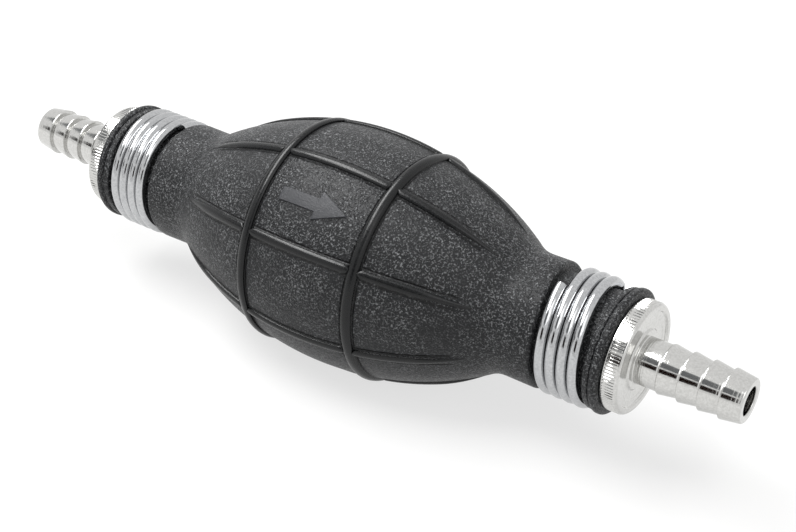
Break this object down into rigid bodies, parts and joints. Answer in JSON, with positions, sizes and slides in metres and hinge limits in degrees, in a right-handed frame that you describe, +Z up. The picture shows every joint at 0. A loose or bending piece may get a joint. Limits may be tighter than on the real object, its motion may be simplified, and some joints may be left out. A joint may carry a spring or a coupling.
{
  "type": "siphon bulb pump",
  "caption": "In-line hand primer pump: ribbed rubber squeeze bulb with barbed metal hose tails, wire-bound necks and a spring check valve in each end.",
  "frame": {"origin": "centre of the bulb on the flow axis, which is the centre of the whole part's box", "axes": "+X along the flow axis, from the inlet tail to the outlet tail; +Z up as it lies, so that a smooth panel between two ribs is on top"},
  "size_m": [0.1814, 0.0514, 0.0514],
  "materials": {
    "bulb_rubber": "moulded nitrile rubber, fine spark-eroded grain, satin ribs",
    "tail_aluminium": "bright turned",
    "clamp_wire": "bright zinc-plated drawn wire",
    "poppet_acetal": "moulded natural acetal",
    "seal_rubber": "moulded nitrile rubber",
    "spring_steel": "stainless spring wire",
    "snap_ring_steel": "phosphated spring steel",
    "seat_brass": "turned"
  },
  "bodies": {
    "pump": {"bulb": "bulb_rubber", "inlet_hose_tail": "tail_aluminium", "outlet_hose_tail": "tail_aluminium", "inlet_wire_clamp": "clamp_wire", "outlet_wire_clamp": "clamp_wire", "inlet_spring": "spring_steel", "outlet_spring": "spring_steel", "inlet_spring_guide": "poppet_acetal", "outlet_spring_guide": "poppet_acetal", "inlet_snap_ring": "snap_ring_steel", "outlet_snap_ring": "snap_ring_steel", "outlet_seat_disc": "seat_brass", "outlet_seat_o_ring": "seal_rubber"},
    "inlet_poppet_body": {"inlet_poppet": "poppet_acetal", "inlet_seal": "seal_rubber"},
    "outlet_poppet_body": {"outlet_poppet": "poppet_acetal", "outlet_seal": "seal_rubber"}
  },
  "joints": [
    {"name": "inlet_poppet_lift", "type": "slide", "parent": "pump", "child": "inlet_poppet_body", "axis": [1, 0, 0], "range_m": [0, 0.0025], "stiffness_N_per_m": 220, "springref_m": -0.0015, "deforming": ["inlet_spring"]},
    {"name": "outlet_poppet_lift", "type": "slide", "parent": "pump", "child": "outlet_poppet_body", "axis": [1, 0, 0], "range_m": [0, 0.0025], "stiffness_N_per_m": 220, "springref_m": -0.0015, "deforming": ["outlet_spring"]}
  ]
}
